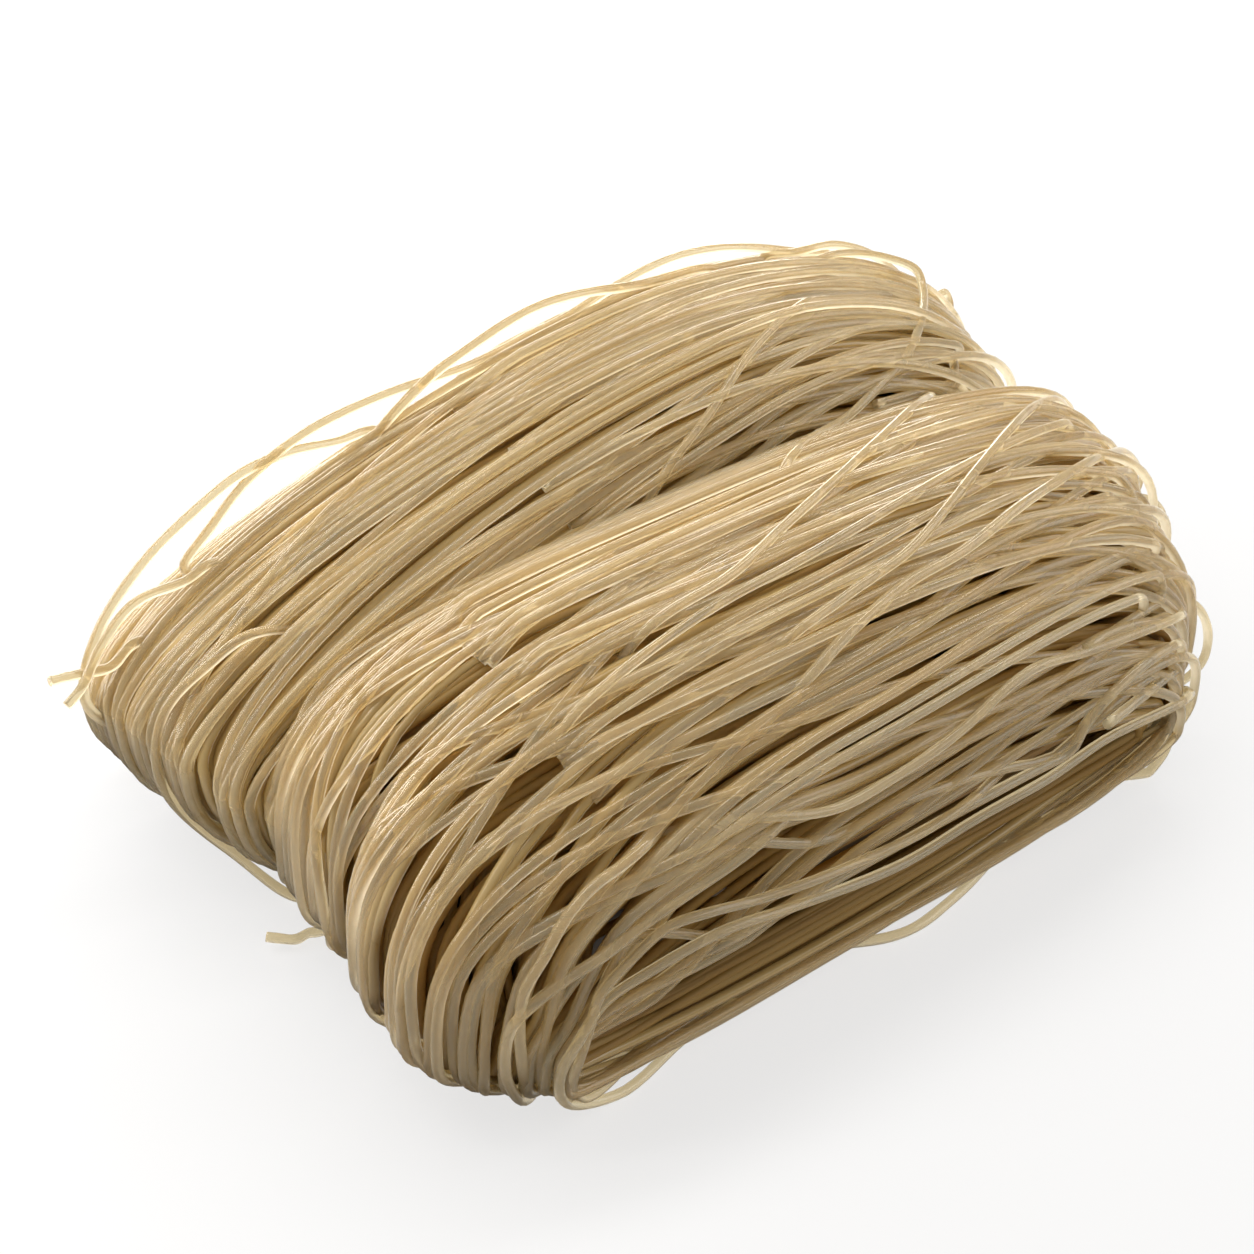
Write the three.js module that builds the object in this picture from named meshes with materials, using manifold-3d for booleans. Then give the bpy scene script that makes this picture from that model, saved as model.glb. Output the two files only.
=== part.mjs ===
// A bundle of dried sweet potato vermicelli: long glassy strands wound into a flattened skein that has
// settled into two round lobes lying side by side. The strands run along X over the top, turn down in open
// loops at both ends and come back underneath. Millimetres, +Z up, resting on z = 0, origin under the middle
// of its box.
//
// Nearly every surface is worked out from one family of loops. A loop lies along X and Z at a place "across"
// its lobe (-1 on the near side, +1 on the far side) and is walked by an angle: 0 at the right end, 90 on top,
// 180 at the left end and 270 underneath.
import * as THREE from "three";
import { mergeVertices } from "three/addons/utils/BufferGeometryUtils.js";
import Module from "manifold-3d";

// Strands
const STRAND_DIAMETER = 2.0;
const STRAND_SIDES = 5;
const LOOP_STEPS = 21;
const STRAY_STEPS_PER_POINT = 2;

// The core lies this far under the middle line of the outer strands, and its sole is pressed to the floor
const CORE_INSET = 1.4;
const SOLE_PRESS = 6.2;
const CORE_LOOP_FACETS = 28;
const CORE_ACROSS_FACETS = 12;
const SIDE_SQUARENESS = 0.06;

// The two lobes. Ends are measured at the middle of a lobe; skew, round and notch shape them in plan. The
// edges are the heights of the loops at a lobe's two sides, crest is where along X a loop is highest, and the
// middles are the shares of the height where a loop is longest. Shoulders and soles are the exponents of a
// loop's upper and lower corners, where 2 is an ellipse. Going under its ends, a loop leans this far towards
// the near side.
const FAR_LOBE = {
  centreY: 36, halfWidth: 34,
  height: 77, edgeNear: 40, edgeFar: 20, crown: 2.4, middleLeft: 0.45, middleRight: 0.34, sideLift: 4,
  crest: 28, left: -109, right: 113, skewLeft: -5, skewRight: 8,
  roundLeftNear: 10, roundLeftFar: 10, roundRight: 10, notchDepth: 0, notchWidth: 0.1,
  shoulderLeft: 1.6, shoulderRight: 2.0, soleLeft: 3.2, soleRight: 2.8, leanLeft: 20, leanRight: 0,
  strands: 9,
};
const NEAR_LOBE = {
  centreY: -35, halfWidth: 45,
  height: 74, edgeNear: 32, edgeFar: 30, crown: 2.2, middleLeft: 0.34, middleRight: 0.38, sideLift: 4,
  crest: -15, left: -103, right: 94, skewLeft: 7, skewRight: 15,
  roundLeftNear: 25, roundLeftFar: 5, roundRight: 12, notchDepth: 6, notchWidth: 0.1,
  shoulderLeft: 3.0, shoulderRight: 2.9, soleLeft: 3.2, soleRight: 2.2, leanLeft: -4, leanRight: -4,
  strands: 11,
};

// Steps along a loop are drawn towards its four corners by this power, to spread evenly on its flat sides
const STEP_SPREAD = 1.4;

// The eye of the near lobe's loops, a hollow that opens on the near side by the left end
const EYE_CENTRE = new THREE.Vector3(-62, -74, 37);
const EYE_RADII = new THREE.Vector3(32, 12, 6);
const EYE_TILT = -8;
const EYE_FACETS = [16, 10];

// Strands on the outside start and end underneath, buried in the core, and wander across their lobe
const STRAND_START = -62;
const STRAND_END = 242;
const BURIED_DEPTH = 6;
const BURIED_SHARE = 0.06;
const WANDER = 0.09;
const OUTERMOST_STRAND = 0.93;

// Strands that have sprung out of the skein, through points of their middle lines.
const ARCS_OVER_FAR_LOBE = [
  [[-104, 40, 26], [-113, 42, 38], [-108, 44, 49], [-96, 45, 60], [-84, 47, 65], [-72, 48, 69], [-60, 49, 69],
    [-46, 50, 65], [-34, 50, 60]],
  [[-84, 45, 46], [-86, 47, 53], [-78, 48, 61], [-69, 48, 68], [-56, 49, 72], [-38, 50, 73], [-18, 50, 72],
    [4, 51, 69], [18, 51, 64]],
  [[-42, 48, 62], [-30, 48, 73], [-17, 49, 77], [0, 50, 80], [14, 50, 79], [28, 49, 76], [44, 47, 71],
    [56, 46, 64]],
  [[-10, 50, 64], [2, 50, 71], [14, 51, 75], [26, 52, 77], [40, 52, 78], [54, 51, 76], [70, 49, 70],
    [82, 48, 61], [86, 46, 50]],
];
const LOOP_AT_FAR_TOP = [[58, 48, 58], [62, 48, 68], [71, 48, 70], [81, 48, 69], [90, 47, 65], [96, 46, 60],
  [97, 44, 53], [90, 42, 46]];
const DIAGONAL_OVER_VALLEY = [[64, 42, 58], [67, 42, 66], [74, 42, 69], [83, 41, 69], [90, 38, 67],
  [95, 34, 64], [93, 30, 61], [83, 22, 59], [71, 15, 58], [58, 9, 58], [43, 0, 60], [27, -10, 65],
  [14, -18, 69], [0, -24, 71], [-12, -30, 66]];
const DIAGONAL_OVER_NEAR_LOBE = [[84, -14, 42], [93, -15, 50], [88, -18, 58], [78, -22, 62], [59, -32, 67],
  [43, -40, 69], [27, -47, 69], [12, -52, 68], [-4, -54, 67], [-20, -56, 66], [-36, -54, 57]];
const CROSSINGS_ON_NEAR_SIDE = [
  [[58, -60, 36], [71, -68, 39], [39, -71, 47], [24, -71, 50], [4, -73, 47], [-11, -74, 46], [-27, -74, 46],
    [-44, -71, 50], [-61, -66, 51], [-70, -58, 46]],
  [[66, -60, 18], [72, -74, 24], [43, -77, 29], [24, -79, 29], [6, -79, 29], [-11, -79, 29], [-35, -78, 32],
    [-54, -77, 35], [-68, -77, 34], [-78, -78, 32], [-84, -80, 27], [-87, -80, 20], [-86, -80, 12],
    [-79, -78, 4], [-66, -66, 4]],
];
const HOOP_AT_NEAR_RIGHT_END = [[72, -54, 36], [81, -60, 38], [85, -63, 34], [89, -65, 29], [91, -66, 22],
  [90, -66, 16], [86, -63, 10], [66, -52, 9]];
const HOOPS_ON_FLOOR = [
  [[-28, -62, 3], [-15, -72, 1], [-3, -77, 1], [10, -76, 1], [29, -71, 1], [45, -66, 1], [50, -54, 4]],
  [[46, -54, 4], [62, -69, 1], [69, -73, 2], [74, -73, 6], [76, -71, 10], [66, -58, 14]],
];
const STRAY_ACROSS_LEFT_ENDS = [[-70, 20, 46], [-88, 21, 51], [-96, 23, 45], [-102, 24, 38], [-104, 23, 32],
  [-104, 19, 24], [-102, 12, 15], [-97, 8, 5], [-93, 3, 1], [-86, -6, 2], [-66, -14, 5]];
const STRAND_ROUND_NEAR_LEFT_END = [[-14, 3, 48], [-28, 2, 55], [-40, 2, 56], [-61, 2, 55], [-76, 2, 49],
  [-86, 1, 39], [-92, -1, 28], [-94, -4, 17], [-92, -9, 6], [-91, -19, 2], [-88, -27, 1], [-70, -34, 5]];
const CUT_ENDS = [
  [[-120, 42, 44], [-115, 42, 43], [-108, 41, 42], [-88, 40, 40]],
  [[-119, 38, 40], [-115, 39, 42], [-109, 41, 48], [-100, 42, 54], [-78, 43, 51]],
  [[-104, -5, 3], [-99, -9, 2], [-95, -13, 1], [-88, -19, 1], [-66, -27, 5]],
];
const STRAYS = [
  ...ARCS_OVER_FAR_LOBE, LOOP_AT_FAR_TOP, DIAGONAL_OVER_VALLEY, DIAGONAL_OVER_NEAR_LOBE,
  ...CROSSINGS_ON_NEAR_SIDE, HOOP_AT_NEAR_RIGHT_END, ...HOOPS_ON_FLOOR, STRAY_ACROSS_LEFT_ENDS,
  STRAND_ROUND_NEAR_LEFT_END, ...CUT_ENDS,
];

// A stray lies this far outside a lobe's loops, but between two depths inside them it dives to its tucked-in
// end
const CLEARANCE = 1.6;
const DIVE_FROM = 4;
const DIVE_TO = 8;
const SKIN_ACROSS_STEPS = 40;
const SKIN_LOOP_STEPS = 90;

const ROOM = 600;
const MERGE_DISTANCE = 1e-3;
const GOLDEN_SHARE = (Math.sqrt(5) - 1) / 2;
const MATERIAL = new THREE.MeshStandardMaterial({ color: 0xb59b6c, roughness: 0.38, metalness: 0.0 });

const wasm = await Module();
wasm.setup();

const { clamp, degToRad, lerp, radToDeg } = THREE.MathUtils;
const signedPower = (value, power) => Math.sign(value) * Math.abs(value) ** power;

// An angle of a loop, in degrees, drawn towards the nearer corner of its quarter.
function spreadAngle(turn) {
  const sine = signedPower(Math.sin(degToRad(turn)), STEP_SPREAD);
  const cosine = signedPower(Math.cos(degToRad(turn)), STEP_SPREAD);
  const angle = radToDeg(Math.atan2(sine, cosine));
  return angle + 360 * Math.round((turn - angle) / 360);
}

// The middle line of the outermost strands at a place across the lobe and an angle of the loop, in degrees.
// inset shrinks the whole loop towards its middle.
function loopPoint(lobe, across, angle, inset = 0) {
  const s = clamp(across, -1, 1);
  const cosine = Math.cos(degToRad(angle));
  const sine = Math.sin(degToRad(angle));

  const edge = s < 0 ? lobe.edgeNear : lobe.edgeFar;
  const crown = (1 - Math.abs(s) ** lobe.crown) ** (1 / lobe.crown);
  const top = edge + (lobe.height - edge) * crown - STRAND_DIAMETER / 2;
  const sole = STRAND_DIAMETER / 2 + lobe.sideLift * s ** 6;
  const [leftward, under] = [cosine < 0, sine < 0];
  const middle = lerp(sole, top, leftward ? lobe.middleLeft : lobe.middleRight);

  const roundLeft = s < 0 ? lobe.roundLeftNear : lobe.roundLeftFar;
  const notch = lobe.notchDepth * Math.exp(-((s / lobe.notchWidth) ** 2));
  const left = lobe.left + lobe.skewLeft * s + roundLeft * s ** 4 + notch;
  const right = lobe.right + lobe.skewRight * s - lobe.roundRight * s ** 4;

  const shoulder = leftward ? lobe.shoulderLeft : lobe.shoulderRight;
  const corner = leftward ? lobe.soleLeft : lobe.soleRight;
  const power = 2 / (under ? corner : shoulder);
  const halfLength = Math.abs((leftward ? left : right) - lobe.crest);
  const halfHeight = under ? middle - sole : top - middle;
  const lean = ((1 - sine) / 2) * lerp(lobe.leanLeft, lobe.leanRight, (1 + cosine) / 2);
  return new THREE.Vector3(
    lobe.crest + (halfLength - inset) * signedPower(cosine, power),
    lobe.centreY + (lobe.halfWidth - inset) * s - lean,
    middle + (halfHeight - inset) * signedPower(sine, power),
  );
}

// The middle line of a strand wound round its lobe, walked by the loop's spread steps.
class LoopCurve extends THREE.Curve {
  constructor(lobe, across, phase) {
    super();
    Object.assign(this, { lobe, across, phase });
  }

  getPoint(share) {
    const angle = spreadAngle(lerp(STRAND_START, STRAND_END, share));
    const once = Math.sin(degToRad(angle + this.phase));
    const twice = Math.sin(degToRad(2 * angle - this.phase));
    const across = this.across + WANDER * (once + twice / 2);
    const buried = BURIED_DEPTH * Math.max(0, 1 - Math.min(share, 1 - share) / BURIED_SHARE);
    return loopPoint(this.lobe, across, angle, buried);
  }

  getUtoTmapping(share) {
    return share;
  }
}

function solidOf(geometry) {
  const bare = new THREE.BufferGeometry().setAttribute("position", geometry.getAttribute("position"));
  if (geometry.index) bare.setIndex(geometry.index);
  const merged = mergeVertices(bare, MERGE_DISTANCE);
  return new wasm.Manifold(
    new wasm.Mesh({
      numProp: 3,
      vertProperties: merged.getAttribute("position").array,
      triVerts: new Uint32Array(merged.index.array),
    }),
  );
}

function geometryOf(solid) {
  const { vertProperties, triVerts } = solid.getMesh();
  const geometry = new THREE.BufferGeometry()
    .setAttribute("position", new THREE.BufferAttribute(vertProperties, 3))
    .setIndex(new THREE.BufferAttribute(triVerts, 1));
  geometry.computeVertexNormals();
  return geometry;
}

// The core of a lobe: a ball whose circles become the lobe's loops, closing in to a point at its two sides.
function lobeCore(lobe) {
  const geometry = new THREE.SphereGeometry(1, CORE_LOOP_FACETS, CORE_ACROSS_FACETS);
  const position = geometry.getAttribute("position");
  for (let i = 0; i < position.count; i++) {
    const [x, across, z] = [position.getX(i), position.getY(i), position.getZ(i)];
    const angle = spreadAngle(radToDeg(Math.atan2(z, x)));
    const size = Math.hypot(x, z) ** SIDE_SQUARENESS;
    const point = loopPoint(lobe, across, angle, CORE_INSET);
    const heart = loopPoint(lobe, across, 0, CORE_INSET).lerp(loopPoint(lobe, across, 180, CORE_INSET), 0.5);
    point.lerpVectors(heart, point, size);
    point.z -= SOLE_PRESS * size * clamp(-2 * Math.sin(degToRad(angle)), 0, 1);
    position.setXYZ(i, point.x, point.y, point.z);
  }
  return solidOf(geometry);
}

function eyeOfLoops() {
  const geometry = new THREE.SphereGeometry(1, ...EYE_FACETS);
  geometry.scale(...EYE_RADII.toArray()).rotateY(degToRad(EYE_TILT)).translate(...EYE_CENTRE.toArray());
  return solidOf(geometry);
}

// A strand: a round section carried along the curve of its middle line.
function strandAlong(extrudePath, steps) {
  const corner = (k) => (2 * Math.PI * k) / STRAND_SIDES;
  const corners = Array.from({ length: STRAND_SIDES }, (_, k) =>
    new THREE.Vector2(Math.cos(corner(k)), Math.sin(corner(k))).multiplyScalar(STRAND_DIAMETER / 2));
  const section = new THREE.Shape(corners);
  return solidOf(new THREE.ExtrudeGeometry(section, { steps, extrudePath, bevelEnabled: false }));
}

function loopStrands(lobe) {
  return Array.from({ length: lobe.strands }, (_, index) => {
    const across = lerp(-OUTERMOST_STRAND, OUTERMOST_STRAND, (index + 0.5) / lobe.strands);
    const phase = 360 * ((index * GOLDEN_SHARE) % 1);
    return strandAlong(new LoopCurve(lobe, across, phase), LOOP_STEPS);
  });
}

// Points of a lobe's outermost loops, each with the direction that leads outwards there.
function lobeSkin(lobe) {
  const at = (i, k) => {
    const across = Math.sin(degToRad(lerp(-90, 90, i / SKIN_ACROSS_STEPS)));
    return loopPoint(lobe, across, spreadAngle((360 * k) / SKIN_LOOP_STEPS));
  };
  const skin = [];
  for (let i = 1; i < SKIN_ACROSS_STEPS; i++) {
    for (let k = 0; k < SKIN_LOOP_STEPS; k++) {
      const over = at(i + 1, k).sub(at(i - 1, k));
      const along = at(i, k + 1).sub(at(i, k - 1));
      skin.push({ point: at(i, k), outward: over.cross(along).normalize() });
    }
  }
  return skin;
}

// A stray's point that runs inside a lobe is moved out of it, and one that dives in on purpose is left there.
function laidOutside(point, skin) {
  const distance = (place) => place.point.distanceToSquared(point);
  const nearer = (best, place) => (distance(place) < distance(best) ? place : best);
  const { point: nearest, outward } = skin.reduce(nearer);
  const outside = point.clone().sub(nearest).dot(outward);
  const shown = clamp((outside + DIVE_TO) / (DIVE_TO - DIVE_FROM), 0, 1);
  const moved = point.clone().addScaledVector(outward, shown * Math.max(CLEARANCE - outside, 0));
  return moved.setZ(Math.max(moved.z, STRAND_DIAMETER / 2));
}

function strayStrand(points) {
  const places = points.map((point) => SKINS.reduce(laidOutside, new THREE.Vector3(...point)));
  return strandAlong(new THREE.CatmullRomCurve3(places), STRAY_STEPS_PER_POINT * (points.length - 1));
}

const SKINS = [lobeSkin(FAR_LOBE), lobeSkin(NEAR_LOBE)];
const aboveFloor = solidOf(new THREE.BoxGeometry(ROOM, ROOM, ROOM).translate(0, 0, ROOM / 2));
const core = lobeCore(FAR_LOBE).add(lobeCore(NEAR_LOBE)).subtract(eyeOfLoops());
const strands = [...loopStrands(FAR_LOBE), ...loopStrands(NEAR_LOBE), ...STRAYS.map(strayStrand)];
const fused = strands.reduce((bundle, strand) => bundle.add(strand), core).intersect(aboveFloor);
const [bundle] = fused.decompose().sort((a, b) => b.volume() - a.volume());

const mesh = new THREE.Mesh(geometryOf(bundle), MATERIAL);
mesh.name = "vermicelli_bundle";
mesh.geometry.computeBoundingBox();
const { min, max } = mesh.geometry.boundingBox;
mesh.position.set(-(min.x + max.x) / 2, -(min.y + max.y) / 2, -min.z);

const part = new THREE.Group();
part.add(mesh);
export default part;
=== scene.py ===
"""Looks of a bundle of dried sweet potato vermicelli: several hundred glassy strands over a heart dark with
painted shade.

Shapes are worked out in millimetres in the bundle's own frame, as in the part's source: a loop lies along X
and Z at a place "across" its lobe (-1 near, +1 far) and is walked by an angle (0 right end, 90 top, 180 left
end, 270 underneath). SHIFT then carries them to the model's frame, and MM turns them into metres.
"""
import math

import bpy
import numpy as np
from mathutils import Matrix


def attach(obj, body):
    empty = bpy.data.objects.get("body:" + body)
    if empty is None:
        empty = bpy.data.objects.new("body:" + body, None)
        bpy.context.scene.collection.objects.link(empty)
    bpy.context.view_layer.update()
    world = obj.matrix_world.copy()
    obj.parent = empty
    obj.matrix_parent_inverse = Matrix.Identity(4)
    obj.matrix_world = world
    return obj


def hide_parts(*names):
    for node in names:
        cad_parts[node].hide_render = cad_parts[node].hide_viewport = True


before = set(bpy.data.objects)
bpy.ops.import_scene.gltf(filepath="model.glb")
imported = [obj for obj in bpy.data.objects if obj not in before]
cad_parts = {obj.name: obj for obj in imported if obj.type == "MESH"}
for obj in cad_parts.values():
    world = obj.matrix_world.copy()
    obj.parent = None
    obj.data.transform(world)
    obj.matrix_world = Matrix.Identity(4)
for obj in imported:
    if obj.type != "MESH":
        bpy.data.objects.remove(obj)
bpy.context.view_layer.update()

MM = 0.001
SHIFT = np.array([1.42, 7.59, 0.0])
STRAND_RADIUS = 1.0
SEED = 11

# The two lobes. Ends are measured at the middle of a lobe, and skew, round and notch shape them in plan. The
# edges are the heights of the loops at a lobe's two sides, crest is where along X a loop is highest, and the
# middles are the shares of the height where it is longest. Shoulders and soles are the exponents of its upper
# and lower corners, and going under its ends it leans this far to the near side. depth is how far the inner
# layers darken with painted shade, and tones the range of the strands' paleness. The far lobe's lighter inner
# layers and paler tones are painted light, standing in for back light that shines through it
FAR_LOBE = dict(
    centre_y=36, half_width=34,
    height=77, edge_near=40, edge_far=20, crown=2.4, middle_left=0.45, middle_right=0.34, side_lift=4,
    crest=28, left=-109, right=113, skew_left=-5, skew_right=8,
    round_left_near=10, round_left_far=10, round_right=10, notch_depth=0, notch_width=0.1,
    shoulder_left=1.6, shoulder_right=2.0, sole_left=3.2, sole_right=2.8, lean_left=20, lean_right=0,
    # Painted light: less painted shade inside and paler tones than the near lobe, for back light through the
    # far lobe
    depth=0.4, tones=(0.35, 1.0),
)
NEAR_LOBE = dict(
    centre_y=-35, half_width=45,
    height=74, edge_near=32, edge_far=30, crown=2.2, middle_left=0.34, middle_right=0.38, side_lift=4,
    crest=-15, left=-103, right=94, skew_left=7, skew_right=15,
    round_left_near=25, round_left_far=5, round_right=12, notch_depth=6, notch_width=0.1,
    shoulder_left=3.0, shoulder_right=2.9, sole_left=3.2, sole_right=2.2, lean_left=-4, lean_right=-4,
    depth=1.0, tones=(0.0, 0.75),
)

# The eye of the near lobe's loops: by the left end of the near side, strands part round a rising line
EYE = dict(x=-62, z=38, slope=0.15, half_length=34, reach=10, opening=6.5, back_y=-48, front_y=-66)

# Layers of a lobe from the outside in: depth of the middle line, strands, rings along a strand and its sides
LAYERS = [
    dict(inset=2.0, count=40, rings=84, sides=12),
    dict(inset=3.5, count=64, rings=80, sides=7),
    dict(inset=5.3, count=58, rings=70, sides=6),
    dict(inset=7.1, count=50, rings=60, sides=5),
]
LOOSE = dict(count=56, rings=96, sides=12)

# Strands cover this share of a lobe's round back, and rings are drawn to a loop's corners by this power
OUTERMOST = 0.97
RING_SPREAD = 1.4

# How far strands reach out at a loop's ends, and how far loose ones slant and spring up over the top
LAYER_REACH = 1.3
LOOSE_REACH = 1.6
LOOSE_SLANT = 0.3
LOOSE_SPRING = 1.0
LOOSE_SPRING_LIMIT = 4

# Each strand's own waves, as a height and a number along the loop: sideways in shares of the lobe's round
# back, and in and out in millimetres
LAYER_WANDER = [(0.012, 2), (0.008, 5)]
LAYER_HEAVE = (0.5, 3)
LOOSE_WANDER = [(0.05, 2), (0.02, 4)]
LOOSE_HEAVE = (0.3, 5)

# Neighbours in a layer lie together in tresses: strands in one, its slant, and how far it is raised or sunk
TRESS_SIZE = 6
TRESS_SLANT = 0.09
TRESS_RAISE = 1.1

# Waves that carry a whole layer sideways: their number, the narrowest and their share of the lobe
BROAD_WAVES = dict(count=5, narrowest=5, share=0.12)
FINE_WAVES = dict(count=3, narrowest=24, share=0.5)

# The heart lies under the layers: its width, rings across it, points round a ring, ridges and drawn-in sides
HEART_INSET = 9.0
HEART_ACROSS = 0.9
HEART_RINGS = 60
HEART_POINTS = 120
HEART_RIDGES = 30
HEART_RIDGE_HEIGHT = 0.7
HEART_ROUNDING = 0.12
HEART_TIP = 0.02

# A strand's radius differs from strand to strand and ripples a little along it
RADIUS_RANGE = (0.93, 1.09)
RIPPLE_HEIGHT = 0.03
RIPPLES = 7

# Strands that have sprung out of the skein, through points of their middle lines
ARCS_OVER_FAR_LOBE = [
    [(-104, 40, 26), (-113, 42, 38), (-108, 44, 49), (-96, 45, 60), (-84, 47, 65), (-72, 48, 69),
     (-60, 49, 69), (-46, 50, 65), (-34, 50, 60)],
    [(-84, 45, 46), (-86, 47, 53), (-78, 48, 61), (-69, 48, 68), (-56, 49, 72), (-38, 50, 73), (-18, 50, 72),
     (4, 51, 69), (18, 51, 64)],
    [(-42, 48, 62), (-30, 48, 73), (-17, 49, 77), (0, 50, 80), (14, 50, 79), (28, 49, 76), (44, 47, 71),
     (56, 46, 64)],
    [(-10, 50, 64), (2, 50, 71), (14, 51, 75), (26, 52, 77), (40, 52, 78), (54, 51, 76), (70, 49, 70),
     (82, 48, 61), (86, 46, 50)],
]
LOOP_AT_FAR_TOP = [(58, 48, 58), (62, 48, 68), (71, 48, 70), (81, 48, 69), (90, 47, 65), (96, 46, 60),
                   (97, 44, 53), (90, 42, 46)]
DIAGONAL_OVER_VALLEY = [(64, 42, 58), (67, 42, 66), (74, 42, 69), (83, 41, 69), (90, 38, 67), (95, 34, 64),
                        (93, 30, 61), (83, 22, 59), (71, 15, 58), (58, 9, 58), (43, 0, 60), (27, -10, 65),
                        (14, -18, 68), (4, -23, 64), (-8, -29, 56)]
DIAGONAL_OVER_NEAR_LOBE = [(84, -14, 42), (93, -15, 50), (88, -18, 58), (78, -22, 62), (59, -32, 67),
                           (43, -40, 69), (27, -47, 69), (12, -52, 68), (-4, -54, 67), (-20, -56, 66),
                           (-36, -54, 57)]
SLANTS_ON_TOP = [
    [(92, -36, 32), (97, -35, 38), (100, -34, 42), (98, -33, 47), (93, -34, 51), (79, -39, 56), (64, -45, 61),
     (42, -52, 67), (22, -56, 67), (8, -57, 67), (-10, -60, 65), (-23, -62, 61), (-36, -62, 54)],
    [(72, 0, 50), (64, -6, 59), (52, -13, 65), (32, -23, 70), (15, -30, 73), (-3, -36, 74), (-21, -42, 74),
     (-36, -43, 71), (-48, -44, 66), (-60, -45, 55)],
    [(70, 30, 58), (58, 28, 67), (48, 24, 71), (32, 19, 70), (15, 12, 66), (0, 8, 60), (-8, 4, 53),
     (-18, 0, 42)],
]
BUMPS_AT_RIGHT_ENDS = [
    [(70, 4, 48), (84, 1, 48), (90, 1, 49), (97, 0, 48), (101, -3, 45), (102, -5, 40), (94, -8, 34)],
    [(84, -34, 38), (92, -37, 38), (95, -38, 41), (98, -41, 40), (99, -43, 36), (96, -44, 31), (84, -46, 26)],
    [(92, 40, 40), (103, 41, 44), (108, 41, 48), (112, 41, 49), (113, 40, 46), (110, 38, 41), (98, 36, 34)],
]
CROSSINGS_ON_NEAR_SIDE = [
    [(-78, -60, 8), (-86, -68, 12), (-90, -72, 22), (-91, -73, 32), (-90, -73, 38), (-86, -73, 43),
     (-81, -72, 48), (-75, -71, 51), (-68, -70, 52), (-58, -67, 52), (-44, -62, 52)],
    [(-76, -62, 6), (-88, -70, 10), (-93, -72, 19), (-94, -73, 26), (-93, -74, 32), (-89, -75, 36),
     (-83, -76, 39), (-77, -77, 41), (-70, -77, 43), (-62, -77, 45), (-52, -76, 46), (-42, -74, 47),
     (-30, -71, 48), (-14, -66, 50)],
    [(-60, -70, 3), (-79, -78, 6), (-82, -78, 12), (-83, -79, 21), (-81, -79, 28), (-79, -80, 35),
     (-72, -80, 39), (-65, -80, 42), (-56, -80, 41), (-46, -79, 38), (-33, -79, 36), (-19, -78, 34),
     (-7, -77, 33), (14, -75, 33), (36, -70, 30)],
    [(58, -60, 36), (71, -68, 39), (39, -71, 47), (24, -71, 50), (4, -73, 47), (-11, -74, 46), (-27, -74, 46),
     (-44, -71, 50), (-61, -66, 51), (-70, -58, 46)],
    [(66, -60, 18), (72, -74, 24), (43, -77, 29), (24, -79, 29), (6, -79, 29), (-11, -79, 29), (-35, -78, 32),
     (-54, -77, 35), (-68, -77, 34), (-78, -78, 32), (-84, -80, 27), (-87, -80, 20), (-86, -80, 12),
     (-79, -78, 4), (-69, -77, 1), (-55, -73, 1), (-40, -71, 1), (-22, -66, 3)],
]
HOOP_AT_NEAR_RIGHT_END = [(72, -54, 36), (81, -60, 38), (85, -63, 34), (89, -65, 29), (91, -66, 22),
                          (90, -66, 16), (86, -63, 10), (66, -52, 9)]
HOOPS_ON_FLOOR = [
    [(-28, -62, 3), (-15, -72, 1), (-3, -77, 1), (10, -76, 1), (29, -71, 1), (45, -66, 1), (50, -54, 4)],
    [(46, -54, 4), (62, -69, 1), (69, -73, 2), (74, -73, 6), (76, -71, 10), (66, -58, 14)],
]
STRAY_ACROSS_LEFT_ENDS = [(-70, 20, 46), (-88, 21, 51), (-96, 23, 45), (-102, 24, 38), (-104, 23, 32),
                          (-104, 19, 24), (-102, 12, 15), (-97, 8, 5), (-93, 3, 1), (-86, -6, 2),
                          (-66, -14, 5)]
STRAND_ROUND_NEAR_LEFT_END = [(-14, 3, 48), (-28, 2, 55), (-40, 2, 56), (-61, 2, 55), (-76, 2, 49),
                              (-86, 1, 39), (-92, -1, 28), (-94, -4, 17), (-92, -9, 6), (-91, -19, 2),
                              (-88, -27, 1), (-70, -34, 5)]
CUT_ENDS = [
    [(-120, 42, 44), (-115, 42, 43), (-108, 41, 42), (-88, 40, 40)],
    [(-119, 38, 40), (-115, 39, 42), (-109, 41, 48), (-100, 42, 54), (-78, 43, 51)],
    [(-104, -5, 3), (-99, -9, 2), (-95, -13, 1), (-88, -19, 1), (-66, -27, 5)],
]
STRAYS = [*ARCS_OVER_FAR_LOBE, LOOP_AT_FAR_TOP, DIAGONAL_OVER_VALLEY, DIAGONAL_OVER_NEAR_LOBE, *SLANTS_ON_TOP,
          *BUMPS_AT_RIGHT_ENDS, *CROSSINGS_ON_NEAR_SIDE, HOOP_AT_NEAR_RIGHT_END, *HOOPS_ON_FLOOR,
          STRAY_ACROSS_LEFT_ENDS, STRAND_ROUND_NEAR_LEFT_END, *CUT_ENDS]
STRAY_RINGS = 90
STRAY_SIDES = 12
STRAY_TONES = (0.3, 1.0)

# A stray lies this far outside a lobe's loops, but between two depths inside them it dives to its tucked-in
# end. Its move outwards is evened over SMOOTHING rings, and a lobe's skin is sampled in steps
CLEARANCE = 2.2
DIVE_FROM = 4.0
DIVE_TO = 8.0
SMOOTHING = 21
SKIN_ACROSS_STEPS = 61
SKIN_LOOP_STEPS = 120

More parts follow.
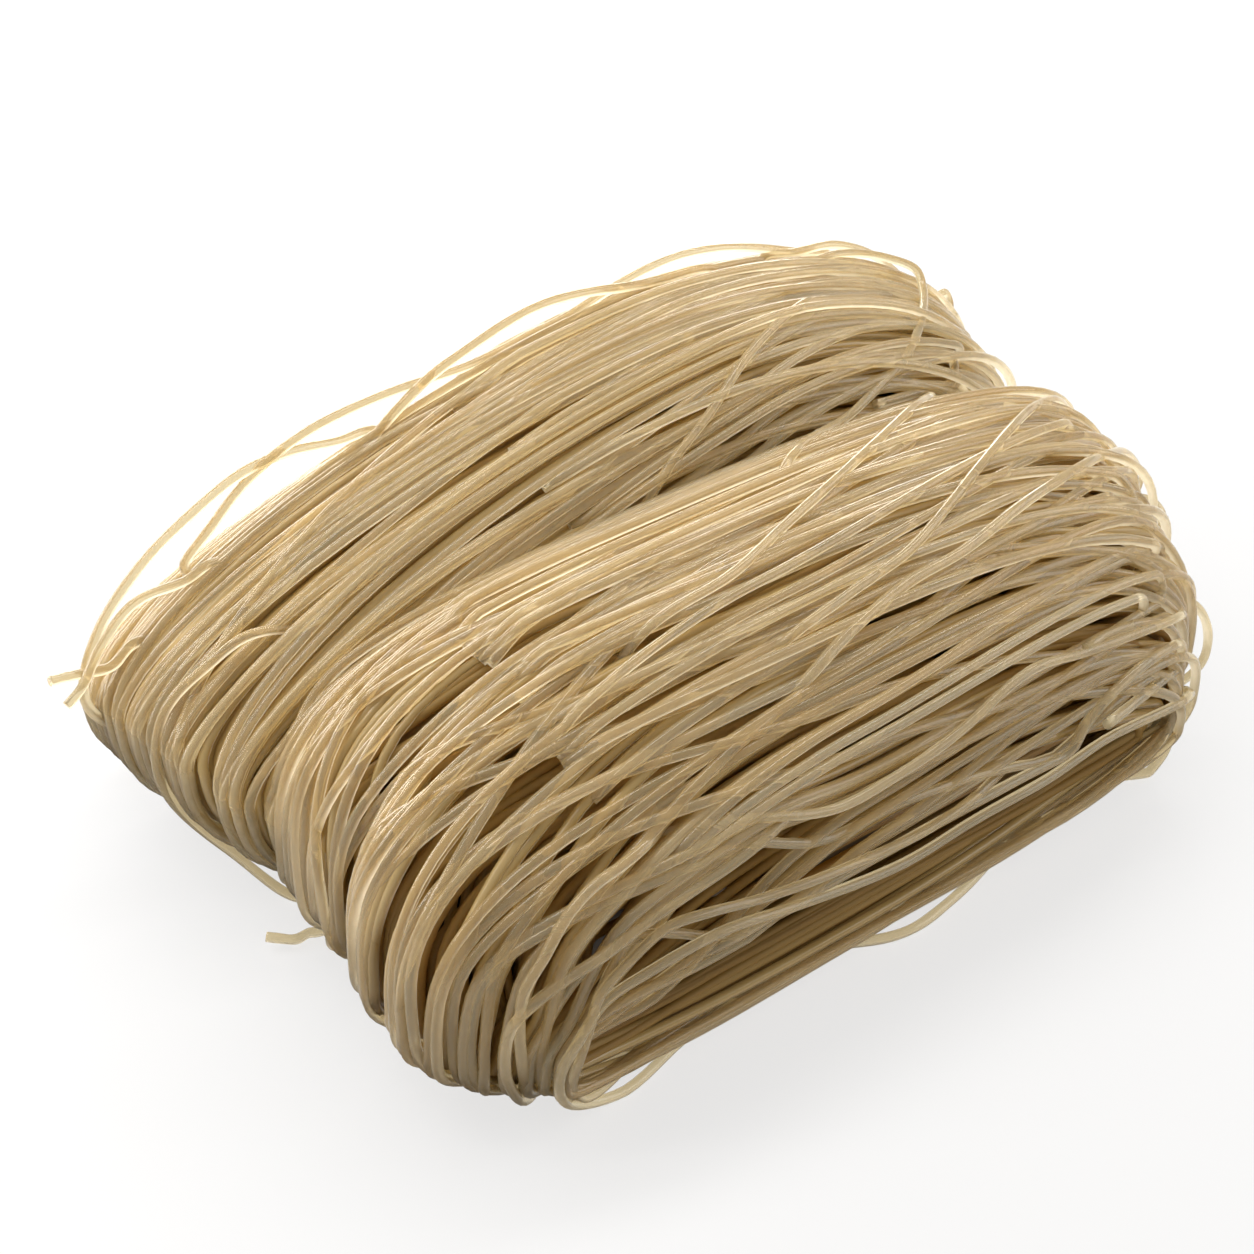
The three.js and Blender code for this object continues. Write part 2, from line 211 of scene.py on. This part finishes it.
# Strands that leave a lobe's right end and turn back in small hoops: their number, their places across the
# lobe and how far these are shaken, the angles of the loop where they start and leave, how deep they start,
# how far and how fast they rise, their slant and tilt, how far they run on, the hoops' radii and turn, the
# leg that goes back in, and the rings along the run, the bend and the leg
HOOPS = dict(far=16, near=24)
HOOP_ACROSS = (-0.92, 0.85)
HOOP_SHAKE = 0.04
HOOP_START = 118
HOOP_LEAVES = (8, 54)
HOOP_DEPTH = 1.0
HOOP_RISE = (1.5, 3.0)
HOOP_RISE_RATE = 12
HOOP_SLANT = 0.15
HOOP_TILT = 0.5
HOOP_RUN_ON = (2.0, 6.0)
HOOP_RADII = (3.0, 5.0)
HOOP_TURN = 175
HOOP_LEG = 26
HOOP_RINGS = dict(run=44, bend=18, leg=8)

# The photograph's view
CAMERA_PLACE = (-246.2, -309.7, 336.0)
CAMERA_AZIMUTH = -37.0
CAMERA_ELEVATION = 38.0
FOCAL_SHARE = 2400 / 1254
SENSOR = 36.0

# The stage, in metres
FLOOR_HALF = 3.0
FLOOR_DROP = 0.0002
LIGHT_AIM = (0.0, 0.0, 0.03)


def signed_power(value, power):
    """A power of the value's size that keeps its sign."""
    return np.sign(value) * np.abs(value) ** power


def unit(vectors):
    """The vectors brought to length 1."""
    return vectors / np.maximum(np.linalg.norm(vectors, axis=-1, keepdims=True), 1e-9)


def ring_angles(rings):
    """Angles of a loop's rings, turned towards its four corners to spread evenly along its flat sides."""
    turn = np.linspace(0, 2 * math.pi, rings, endpoint=False)
    return np.arctan2(signed_power(np.sin(turn), RING_SPREAD), signed_power(np.cos(turn), RING_SPREAD))


def loop_point(lobe, across, angle, inset=0.0, reach=0.0, lift=0.0):
    """Middle line of a strand: a superellipse in X and Z whose ends and top follow the lobe's plan and crown.

    To the left and the right of the crest, the upper quarters use the shoulders' exponents and the lower ones
    the soles'. inset shrinks the loop from all sides, reach stretches it at its ends and lift raises its top.
    Going under an end, it leans to the near side.
    """
    across, angle, inset, reach, lift = np.broadcast_arrays(np.clip(across, -1, 1), angle, inset, reach, lift)
    cosine, sine = np.cos(angle), np.sin(angle)
    near, leftward, under = across < 0, cosine < 0, sine < 0
    edge = np.where(near, lobe["edge_near"], lobe["edge_far"])
    crown = (1 - np.abs(across) ** lobe["crown"]) ** (1 / lobe["crown"])
    top = edge + (lobe["height"] - edge) * crown - STRAND_RADIUS
    sole = STRAND_RADIUS + lobe["side_lift"] * across ** 6
    middle = sole + np.where(leftward, lobe["middle_left"], lobe["middle_right"]) * (top - sole)

    round_left = np.where(near, lobe["round_left_near"], lobe["round_left_far"])
    notch = lobe["notch_depth"] * np.exp(-(across / lobe["notch_width"]) ** 2)
    left = lobe["left"] + lobe["skew_left"] * across + round_left * across ** 4 + notch
    right = lobe["right"] + lobe["skew_right"] * across - lobe["round_right"] * across ** 4

    shoulder = np.where(leftward, lobe["shoulder_left"], lobe["shoulder_right"])
    corner = np.where(leftward, lobe["sole_left"], lobe["sole_right"])
    power = 2 / np.where(under, corner, shoulder)
    half_length = np.abs(np.where(leftward, left, right) - lobe["crest"]) - inset + reach
    half_height = np.where(under, middle - sole, top - middle + lift)
    lean = (1 - sine) / 2 * (lobe["lean_left"] * (1 - cosine) / 2 + lobe["lean_right"] * (1 + cosine) / 2)
    x = lobe["crest"] + half_length * signed_power(cosine, power)
    y = lobe["centre_y"] + (lobe["half_width"] - inset) * across - lean
    z = middle + np.maximum(half_height - inset, 0.5) * signed_power(sine, power)
    return np.stack([x, y, z], axis=-1)


def open_eye(points):
    """On the near side, strands above the eye's line move up and those below it down, most close to it."""
    x, y, z = np.moveaxis(points, -1, 0)
    along = (x - EYE["x"]) / EYE["half_length"]
    above = (z - EYE["z"] - EYE["slope"] * (x - EYE["x"])) / EYE["reach"]
    near = np.clip((EYE["back_y"] - y) / (EYE["back_y"] - EYE["front_y"]), 0, 1)
    moved = z + EYE["opening"] * np.tanh(3 * above) * np.exp(-above ** 2 - along ** 4) * near
    return np.stack([x, y, moved], axis=-1)


def waves(rng, count, narrowest, share):
    """Numbers of a drift: each wave's count over the lobe, whole turns along the loop, share and start."""
    over = rng.uniform(1, narrowest, count)
    along = rng.integers(-3, 4, count)
    return over, along, share * rng.uniform(0.5, 1, count) / over, rng.uniform(0, 2 * math.pi, count)


def drift(place, angle, numbers):
    """Sideways drift: the sum of waves that run over the lobe and along the loop."""
    over, along, share, start = numbers
    phase = over * place[..., None] + along * angle[..., None] + start
    return (share * np.sin(phase)).sum(axis=-1)


def wave(angle, shape, start):
    """A sine along the loop from its height, number and start."""
    height, number = shape
    return height * np.sin(number * angle + start)


def end_reach(mean, count, angle, rng):
    """How far each strand is stretched along its loop, the right end most."""
    return rng.exponential(mean, (count, 1)) * (0.6 + 0.4 * np.cos(angle))


def wound_layer(lobe, layer, rng):
    """Paths of a layer of strands, evenly spread over the lobe's round back, all carried by one drift."""
    count, rings = layer["count"], layer["rings"]
    angle = ring_angles(rings)[None, :]
    place = (np.arange(count) + rng.uniform(0.2, 0.8, count)) / count * 2 - 1
    place = (place * math.pi / 2 * OUTERMOST)[:, None] + 0 * angle
    angle = angle + 0 * place
    tress = np.arange(count) // TRESS_SIZE
    slant = rng.normal(0, TRESS_SLANT, count)[tress][:, None]
    bend = rng.uniform(0, 2 * math.pi, count)[tress][:, None]
    raised = rng.uniform(-TRESS_RAISE, TRESS_RAISE, count)[tress][:, None]
    moved = place + slant * np.cos(angle + 0.5 * np.sin(bend))
    moved = moved + drift(place, angle, waves(rng, **BROAD_WAVES))
    moved = moved + drift(place, angle, waves(rng, **FINE_WAVES))
    own = rng.uniform(0, 2 * math.pi, (3, count, 1))
    moved = moved + wave(angle, LAYER_WANDER[0], own[0]) + wave(angle, LAYER_WANDER[1], own[1])
    reach = end_reach(LAYER_REACH, count, angle, rng)
    inset = layer["inset"] + raised + wave(angle, LAYER_HEAVE, own[2])
    return loop_point(lobe, np.sin(moved), angle, inset, reach)


def loose_strands(lobe, rng):
    """Paths of single strands on top of the skein, each with its own slant, wander and spring."""
    count, rings = LOOSE["count"], LOOSE["rings"]
    angle = ring_angles(rings)[None, :]
    place = ((np.arange(count) + rng.uniform(0, 1, count)) / count * 2 - 1)[:, None] * math.pi / 2 * OUTERMOST
    own = rng.uniform(0, 2 * math.pi, (5, count, 1))
    slant = rng.normal(0, LOOSE_SLANT, (count, 1))
    moved = place + slant * np.cos(angle + 0.4 * np.sin(own[0]))
    moved = moved + wave(angle, LOOSE_WANDER[0], own[1]) + wave(angle, LOOSE_WANDER[1], own[2])
    spring = rng.exponential(LOOSE_SPRING, (count, 1)) * np.maximum(np.sin(angle + own[3] * 0.3), 0) ** 3
    reach = end_reach(LOOSE_REACH, count, angle, rng)
    inset = wave(angle, LOOSE_HEAVE, own[4])
    return loop_point(lobe, np.sin(moved), angle, inset, reach, np.minimum(spring, LOOSE_SPRING_LIMIT))


def smooth_path(points, rings):
    """A curve through the points: Hermite cubics over the root of the distance, sloped by the neighbours."""
    points = np.array(points, float)
    steps = np.linalg.norm(np.diff(points, axis=0), axis=1) ** 0.5
    knots = np.concatenate([[0], np.cumsum(steps)])
    slopes = np.gradient(points, knots, axis=0)
    at = np.linspace(0, knots[-1], rings)
    span = np.clip(np.searchsorted(knots, at, side="right") - 1, 0, len(steps) - 1)
    width = steps[span][:, None]
    t = (at - knots[span])[:, None] / width
    start = points[span] * (2 * t ** 3 - 3 * t ** 2 + 1) + slopes[span] * width * (t ** 3 - 2 * t ** 2 + t)
    return start + points[span + 1] * (3 * t ** 2 - 2 * t ** 3) + slopes[span + 1] * width * (t ** 3 - t ** 2)


def lobe_skin(lobe):
    """Points of a lobe's outermost loops and their outward directions, the cross product of two tangents."""
    place = np.linspace(-math.pi / 2, math.pi / 2, SKIN_ACROSS_STEPS)[:, None]
    skin = loop_point(lobe, np.sin(place), ring_angles(SKIN_LOOP_STEPS)[None, :])
    along = np.roll(skin, -1, axis=1) - np.roll(skin, 1, axis=1)
    outward = unit(np.cross(np.gradient(skin, axis=0), along))
    return skin.reshape(-1, 3), outward.reshape(-1, 3)


def lay_outside(path, skin, outward):
    """Moves a stray's points that run inside a lobe out to CLEARANCE, but not those that dive in."""
    nearest = np.linalg.norm(path[:, None, :] - skin[None], axis=-1).argmin(axis=1)
    outside = ((path - skin[nearest]) * outward[nearest]).sum(axis=-1)
    shown = np.clip((outside + DIVE_TO) / (DIVE_TO - DIVE_FROM), 0, 1)
    move = outward[nearest] * (np.maximum(CLEARANCE - outside, 0) * shown)[:, None]
    weights = np.hanning(SMOOTHING + 2)[1:-1]
    weights = weights / weights.sum()
    moved = path + np.stack([np.convolve(axis, weights, mode="same") for axis in move.T], axis=-1)
    moved[:, 2] = np.maximum(moved[:, 2], STRAND_RADIUS)
    return moved


def stray_paths():
    """Paths of the strays through their points, laid outside both lobes."""
    skins = [lobe_skin(FAR_LOBE), lobe_skin(NEAR_LOBE)]
    paths = []
    for points in STRAYS:
        path = smooth_path(points, STRAY_RINGS)
        for skin, outward in skins:
            path = lay_outside(path, skin, outward)
        paths.append(path)
    return np.stack(paths)


def end_hoops(lobe, count, rng):
    """Paths of strands that leave the right end and turn back in small hoops.

    Each runs along a loop over the top, on a little, round a half circle and back in. The half circle is
    end + radius * ((1 - cos t) * inward + sin t * forward).
    """
    across = np.linspace(*HOOP_ACROSS, count)[:, None] + rng.uniform(-HOOP_SHAKE, HOOP_SHAKE, (count, 1))
    leave = np.radians(rng.uniform(*HOOP_LEAVES, (count, 1)))
    share = np.linspace(0, 1, HOOP_RINGS["run"])[None, :]
    angle = math.radians(HOOP_START) + (leave - math.radians(HOOP_START)) * share
    slant = rng.normal(0, HOOP_SLANT, (count, 1))
    rise = rng.uniform(*HOOP_RISE, (count, 1)) * np.minimum(HOOP_RISE_RATE * share, 1) - HOOP_DEPTH
    run = loop_point(lobe, across + slant * (1 - share), angle, -rise)
    forward = unit(run[:, -1:] - run[:, -2:-1])
    end = run[:, -1:] + forward * rng.uniform(*HOOP_RUN_ON, (count, 1, 1))
    tilt = rng.normal(0, HOOP_TILT, (count, 1))
    inward = unit(np.stack([forward[..., 2], tilt, -forward[..., 0]], axis=-1))
    radius = rng.uniform(*HOOP_RADII, (count, 1, 1))
    turn = np.radians(np.linspace(0, HOOP_TURN, HOOP_RINGS["bend"]))[None, :, None]
    bend = end + radius * ((1 - np.cos(turn)) * inward + np.sin(turn) * forward)
    backward = unit(bend[:, -1:] - bend[:, -2:-1])
    leg = bend[:, -1:] + backward * np.linspace(0, HOOP_LEG, HOOP_RINGS["leg"])[None, 1:, None]
    return np.concatenate([run, bend, leg], axis=1)


def sides_of(forward):
    """A side direction for each ring, carried from ring to ring so that it turns as little as it can."""
    sides = np.empty_like(forward)
    side = np.cross(forward[:, 0], [0.3, 0.2, 0.93])
    for ring in range(forward.shape[1]):
        side = unit(side - (side * forward[:, ring]).sum(-1, keepdims=True) * forward[:, ring])
        sides[:, ring] = side
    return sides


def tube_grid(paths, radii, sides, closed):
    """Rings of a round section carried along each path: place + radius * (cos a * side + sin a * up)."""
    if closed:
        forward = unit(np.roll(paths, -1, axis=1) - np.roll(paths, 1, axis=1))
        side = unit(np.array([0.0, 1.0, 0.0]) - forward * forward[..., 1:2])
    else:
        forward = unit(np.gradient(paths, axis=1))
        side = sides_of(forward)
    up = np.cross(forward, side)
    turn = np.linspace(0, 2 * math.pi, sides, endpoint=False)
    ring = np.cos(turn)[:, None] * side[:, :, None, :] + np.sin(turn)[:, None] * up[:, :, None, :]
    return paths[:, :, None, :] + radii[..., None, None] * ring


def tube_faces(strands, rings, sides, closed):
    """Corners of the tubes' quads, and for each corner its share along the strand and round it."""
    spans = rings if closed else rings - 1
    strand, ring, side = np.meshgrid(np.arange(strands), np.arange(spans), np.arange(sides), indexing="ij")
    steps = np.array([(0, 0), (0, 1), (1, 1), (1, 0)])
    along = ring[..., None] + steps[:, 0]
    round_ = side[..., None] + steps[:, 1]
    corner = (strand[..., None] * rings + along % rings) * sides + round_ % sides
    uv = np.stack([along / rings, round_ / sides], axis=-1)
    return corner.reshape(-1, 4), uv.reshape(-1, 2)


def cap_faces(strands, rings, sides):
    """The two flat cut ends of each open tube, as one many-sided face each."""
    first = np.arange(strands)[:, None] * rings * sides + np.arange(sides)[None, ::-1]
    last = (np.arange(strands)[:, None] * rings + rings - 1) * sides + np.arange(sides)[None, :]
    return np.vstack([first, last])


def mesh_object(name, vertices, face_lists, uv, smooth, attributes):
    """A mesh piece at the origin from arrays in millimetres of the bundle's frame."""
    mesh = bpy.data.meshes.new(name)
    corners = np.concatenate([faces.ravel() for faces in face_lists]).astype(np.int32)
    totals = np.concatenate([np.full(len(faces), faces.shape[1]) for faces in face_lists]).astype(np.int32)
    starts = np.concatenate([[0], np.cumsum(totals)[:-1]]).astype(np.int32)
    mesh.vertices.add(len(vertices))
    mesh.vertices.foreach_set("co", ((vertices + SHIFT) * MM).astype(np.float32).ravel())
    mesh.loops.add(len(corners))
    mesh.loops.foreach_set("vertex_index", corners)
    mesh.polygons.add(len(totals))
    mesh.polygons.foreach_set("loop_start", starts)
    mesh.polygons.foreach_set("use_smooth", smooth)
    layer = mesh.uv_layers.new(name="strand")
    layer.data.foreach_set("uv", uv.astype(np.float32).ravel())
    for key, values in attributes.items():
        attribute = mesh.attributes.new(key, "FLOAT", "POINT")
        attribute.data.foreach_set("value", values.astype(np.float32).ravel())
    mesh.update(calc_edges=True)
    piece = bpy.data.objects.new(name, mesh)
    bpy.context.scene.collection.objects.link(piece)
    return piece


def strand_piece(name, groups, tone_range, material, rng, closed=True):
    """One piece of many strands; each group is (paths, depth of its layer, sides of a strand); the depth
    share sets how far inner strands are darkened with painted shade.
    """
    vertices, faces, caps, uvs, tones, depths, base = [], [], [], [], [], [], 0
    for paths, depth, sides in groups:
        strands, rings = paths.shape[:2]
        thick = rng.uniform(*RADIUS_RANGE, (strands, 1)) * STRAND_RADIUS
        turn = np.linspace(0, 2 * RIPPLES * math.pi, rings)[None, :] + rng.uniform(0, 6, (strands, 1))
        ripple = 1 + RIPPLE_HEIGHT * np.sin(turn)
        grid = tube_grid(paths, thick * ripple, sides, closed)
        corner, uv = tube_faces(strands, rings, sides, closed)
        faces.append(corner + base)
        uvs.append(uv)
        if not closed:
            caps.append(cap_faces(strands, rings, sides) + base)
        size = strands * rings * sides
        tones.append(np.repeat(rng.uniform(*tone_range, strands), rings * sides))
        depths.append(np.full(size, depth))
        vertices.append(grid.reshape(-1, 3))
        base += size
    smooth = np.concatenate([np.ones(sum(map(len, faces)), bool), np.zeros(sum(map(len, caps)), bool)])
    uvs.append(np.zeros((sum(cap.size for cap in caps), 2)))
    piece = mesh_object(name, np.vstack(vertices), faces + caps, np.vstack(uvs), smooth,
                        {"tone": np.concatenate(tones), "depth": np.concatenate(depths)})
    piece.data.materials.append(material)
    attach(piece, "root")
    return piece


def heart_piece(name, lobe, material):
    """The heart of a lobe, dark with painted shade: its loops at HEART_INSET with ridges across, drawn in at
    both sides.
    """
    rings, around = HEART_RINGS, HEART_POINTS
    place = np.linspace(-math.pi / 2, math.pi / 2, rings)[:, None]
    angle = ring_angles(around)[None, :]
    ridges = HEART_RIDGE_HEIGHT * np.abs(np.sin(HEART_RIDGES * place + 2 * np.sin(angle)))
    skin = loop_point(lobe, HEART_ACROSS * np.sin(place), angle, HEART_INSET + ridges)
    middle = skin.mean(axis=1, keepdims=True)
    size = (np.cos(place) ** HEART_ROUNDING)[..., None]
    size[[0, -1]] = HEART_TIP
    skin = middle + (skin - middle) * size
    ring, side = np.meshgrid(np.arange(rings - 1), np.arange(around), indexing="ij")
    after = (side + 1) % around
    faces = np.stack([ring * around + side, (ring + 1) * around + side, (ring + 1) * around + after,
                      ring * around + after], axis=-1).reshape(-1, 4)
    caps = np.stack([np.arange(around), np.arange(around)[::-1] + (rings - 1) * around])
    corners = faces.size + caps.size
    piece = mesh_object(name, skin.reshape(-1, 3), [faces, caps], np.zeros((corners, 2)),
                        np.ones(len(faces) + 2, bool), {})
    piece.data.materials.append(material)
    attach(piece, "root")
    return piece


class Shade:
    """A socket of a material's node tree. Arithmetic on it adds Math nodes, and node() adds any other."""

    def __init__(self, tree, socket=None):
        self.tree = tree
        self.socket = socket

    def node(self, kind, settings=None, inputs=None, output=0):
        made = self.tree.nodes.new(kind)
        for key, value in (settings or {}).items():
            if key == "stops":
                ramp = made.color_ramp.elements
                while len(ramp) < len(value):
                    ramp.new(1.0)
                for element, (position, colour) in zip(ramp, value):
                    element.position = position
                    element.color = (*colour, 1.0)
            else:
                setattr(made, key, value)
        for key, value in (inputs or {}).items():
            if isinstance(value, Shade):
                self.tree.links.new(value.socket, made.inputs[key])
            else:
                made.inputs[key].default_value = value
        return Shade(self.tree, made.outputs[output] if len(made.outputs) else None)

    def math(self, operation, first, second):
        return self.node("ShaderNodeMath", {"operation": operation}, {0: first, 1: second})

    def __add__(self, other):
        return self.math("ADD", self, other)

    __radd__ = __add__

    def __sub__(self, other):
        return self.math("SUBTRACT", self, other)

    def __rsub__(self, other):
        return self.math("SUBTRACT", other, self)

    def __mul__(self, other):
        return self.math("MULTIPLY", self, other)

    __rmul__ = __mul__


def new_material(name):
    """An empty material, and the handle that adds its nodes."""
    material = bpy.data.materials.new(name)
    material.use_nodes = True
    material.node_tree.nodes.clear()
    return material, Shade(material.node_tree)


def finish_material(shade, shader):
    """Shows the shader as the material's surface."""
    shade.node("ShaderNodeOutputMaterial", None, {"Surface": shader})


def streaks(shade, along_scale, around_scale):
    """Noise drawn out along the strands, from the strands' own coordinates."""
    along = shade.node("ShaderNodeUVMap", {"uv_map": "strand"})
    scale = (along_scale, around_scale, 1.0)
    stretched = shade.node("ShaderNodeMapping", None, {"Vector": along, "Scale": scale})
    return shade.node("ShaderNodeTexNoise", None, {"Vector": stretched, "Scale": 1.0, "Detail": 3.0})


def blend(shade, factor, first, second):
    """A colour between two colours or colour sockets."""
    first, second = (end if isinstance(end, Shade) else (*end, 1.0) for end in (first, second))
    return shade.node("ShaderNodeMix", {"data_type": "RGBA"}, {"Factor": factor, 6: first, 7: second}, 2)


def painted_underside_glow(shade):
    """1 where the surface faces down and 0 where it faces up: it paints a bright lower edge, as if light that
    a strand gathers from above always leaves it below.
    """
    normal = shade.node("ShaderNodeTexCoord", None, None, "Normal")
    upward = shade.node("ShaderNodeSeparateXYZ", None, {"Vector": normal}, "Z")
    return shade.node("ShaderNodeMapRange", {"interpolation_type": "SMOOTHSTEP"}, {
        "Value": upward, "From Min": 0.25, "From Max": -0.3, "To Min": 0.0, "To Max": 1.0})


def outer_material(name, dark, pale, clearness):
    """Strands that show: golden and glossy, partly clear and partly milky, with long streaks and a painted
    bright lower edge.
    """
    material, shade = new_material(name)
    tone = shade.node("ShaderNodeAttribute", {"attribute_name": "tone"}, None, 2)
    streak = streaks(shade, 40.0, 6.0)
    skin = shade.node("ShaderNodeBsdfPrincipled", None, {
        "Base Color": blend(shade, 0.6 * tone + 0.4 * streak, dark, pale), "Roughness": 0.04 + 0.06 * streak,
        "IOR": 1.45, "Specular IOR Level": 0.6, "Transmission Weight": clearness})
    # Painted highlight: a pale translucent glow mixed in where the strand faces down. The glow itself is lit,
    # but its place stands in for overhead light focused to the lower edge
    glow = shade.node("ShaderNodeBsdfTranslucent", None, {"Color": (1.0, 0.945, 0.82, 1.0)})
    share = 0.04 + 0.8 * painted_underside_glow(shade)
    finish_material(shade, shade.node("ShaderNodeMixShader", None, {0: share, 1: skin, 2: glow}))
    return material


def inner_material():
    """Strands under the outermost: milky honey brown that lets light through, darkened with painted shade of
    the skein's inside, and redder and darker with depth.
    """
    material, shade = new_material("noodle_inside_painted_shade")
    tone = shade.node("ShaderNodeAttribute", {"attribute_name": "tone"}, None, 2)
    depth = shade.node("ShaderNodeAttribute", {"attribute_name": "depth"}, None, 2)
    mixed = 0.6 * tone + 0.4 * streaks(shade, 40.0, 6.0)
    # Painted shade: inner strands take darker browns than the outer ones, and darker and redder still with
    # their depth share
    shallow = blend(shade, mixed, (0.38, 0.24, 0.07), (0.54, 0.38, 0.15))
    deep = blend(shade, mixed, (0.17, 0.078, 0.008), (0.27, 0.14, 0.02))
    skin = shade.node("ShaderNodeBsdfPrincipled", None, {
        "Base Color": blend(shade, depth, shallow, deep), "Roughness": 0.4 + 0.1 * mixed, "IOR": 1.5,
        "Specular IOR Level": 0.25})
    # Its glow darkens with depth too, painted shade
    glow = shade.node("ShaderNodeBsdfTranslucent", None, {
        "Color": blend(shade, depth, (0.88, 0.62, 0.25), (0.70, 0.40, 0.09))})
    finish_material(shade, shade.node("ShaderNodeMixShader", None, {0: 0.35, 1: skin, 2: glow}))
    return material


def painted_shade_heart_material():
    """Painted shade of the skein's unlit inside: deep brown with faint lengthwise stripes."""
    material, shade = new_material("noodle_heart_painted_shade")
    place = shade.node("ShaderNodeTexCoord", None, None, "Object")
    stretched = shade.node("ShaderNodeMapping", None, {"Vector": place, "Scale": (60.0, 900.0, 900.0)})
    stripe = shade.node("ShaderNodeTexNoise", None, {"Vector": stretched, "Scale": 1.0, "Detail": 2.0})
    # Painted shade: near-black browns where there are only more strands in shade
    stops = [(0.3, (0.035, 0.018, 0.004)), (0.8, (0.10, 0.06, 0.018))]
    colour = shade.node("ShaderNodeValToRGB", {"stops": stops}, {"Fac": stripe})
    skin = shade.node("ShaderNodeBsdfPrincipled", None, {
        "Base Color": colour, "Roughness": 0.45 + 0.2 * stripe})
    finish_material(shade, skin)
    return material


def floor_material():
    """Plain near-white ground that glows a little, so that shadows on it stay pale."""
    material, shade = new_material("pale_floor")
    finish_material(shade, shade.node("ShaderNodeBsdfPrincipled", None, {
        "Base Color": (0.18, 0.179, 0.177, 1.0), "Roughness": 0.6,
        "Emission Color": (1.0, 0.995, 0.99, 1.0), "Emission Strength": 0.7}))
    return material


def build_stage():
    """The floor, a square a little below the strands."""
    signs = [(-1, -1), (1, -1), (1, 1), (-1, 1)]
    mesh = bpy.data.meshes.new("floor")
    mesh.from_pydata([(x * FLOOR_HALF, y * FLOOR_HALF, 0) for x, y in signs], [], [(0, 1, 2, 3)])
    floor = bpy.data.objects.new("floor", mesh)
    floor.location.z = -FLOOR_DROP
    bpy.context.scene.collection.objects.link(floor)
    mesh.materials.append(floor_material())


def add_softbox(name, place, size, power):
    """An area light that looks at the bundle."""
    lamp = bpy.data.lights.new(name, "AREA")
    lamp.shape = "RECTANGLE"
    lamp.size, lamp.size_y = size
    lamp.energy = power
    box = bpy.data.objects.new(name, lamp)
    box.location = place
    direction = np.array(LIGHT_AIM) - np.array(place)
    flat = math.hypot(direction[0], direction[1])
    box.rotation_euler = (math.atan2(flat, -direction[2]), 0, math.atan2(-direction[0], direction[1]))
    bpy.context.scene.collection.objects.link(box)


def build_light():
    """A pale surround, a strip over the top, a wall of light at the back, a left strip and a fill."""
    world = bpy.data.worlds.new("studio")
    world.use_nodes = True
    background = world.node_tree.nodes["Background"]
    background.inputs["Color"].default_value = (1.0, 0.995, 0.985, 1.0)
    background.inputs["Strength"].default_value = 0.45
    bpy.context.scene.world = world
    add_softbox("top_strip", (0.1, 0.35, 0.92), (1.6, 0.2), 7.0)
    add_softbox("back_wall", (0.0, 1.0, 0.25), (2.2, 0.42), 19.0)
    add_softbox("left_strip", (-0.6, 0.3, 0.7), (0.12, 1.2), 3.0)
    add_softbox("right_fill", (0.8, -0.5, 0.45), (0.9, 0.6), 4.0)


def build_camera():
    """The photograph's camera."""
    camera = bpy.data.cameras.new("camera")
    camera.sensor_width = SENSOR
    camera.lens = FOCAL_SHARE * SENSOR
    viewer = bpy.data.objects.new("camera", camera)
    viewer.location = (np.array(CAMERA_PLACE) + SHIFT) * MM
    viewer.rotation_euler = (math.radians(90 - CAMERA_ELEVATION), 0, math.radians(CAMERA_AZIMUTH))
    bpy.context.scene.collection.objects.link(viewer)
    bpy.context.scene.camera = viewer


def lobe_pieces(side, lobe, looks, rng):
    """A lobe's inner layers, outer layer, loose strands and heart."""
    layers = []
    for layer in LAYERS:
        paths = open_eye(wound_layer(lobe, layer, rng))
        # Painted shade: a layer's darkening share grows with its inset, scaled by the lobe's depth entry
        layers.append((paths, lobe["depth"] * layer["inset"] / HEART_INSET, layer["sides"]))
    loose = [(open_eye(loose_strands(lobe, rng)), 0.0, LOOSE["sides"])]
    kinds = [("inner", layers[1:]), ("outer", layers[:1]), ("loose", loose)]
    pieces = [strand_piece(f"{side}_lobe_{kind}_strands", groups, lobe["tones"], looks[kind], rng)
              for kind, groups in kinds]
    return [*pieces, heart_piece(side + "_lobe_heart", lobe, looks["heart"])]


def build_bundle():
    """All the pieces, which take the place of the bundle's solid."""
    rng = np.random.default_rng(SEED)
    looks = dict(
        loose=outer_material("noodle", (0.63, 0.46, 0.20), (0.86, 0.755, 0.51), 0.74),
        # Painted shade: the outermost wound layer takes darker colours than the loose strands that lie over
        # it
        outer=outer_material("noodle_under_painted_shade", (0.39, 0.255, 0.08), (0.64, 0.475, 0.22), 0.22),
        # Painted shade: the inner strands and the heart are darker still
        inner=inner_material(), heart=painted_shade_heart_material(),
    )
    pieces = lobe_pieces("far", FAR_LOBE, looks, rng) + lobe_pieces("near", NEAR_LOBE, looks, rng)
    springing = [stray_paths()]
    springing.append(end_hoops(FAR_LOBE, HOOPS["far"], rng))
    springing.append(end_hoops(NEAR_LOBE, HOOPS["near"], rng))
    groups = [(paths, 0.0, STRAY_SIDES) for paths in springing]
    pieces.append(strand_piece("stray_strands", groups, STRAY_TONES, looks["loose"], rng, closed=False))
    for piece in pieces:
        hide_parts("vermicelli_bundle")


build_camera()
build_stage()
build_light()
build_bundle()
bpy.context.scene.view_settings.view_transform = "Standard"
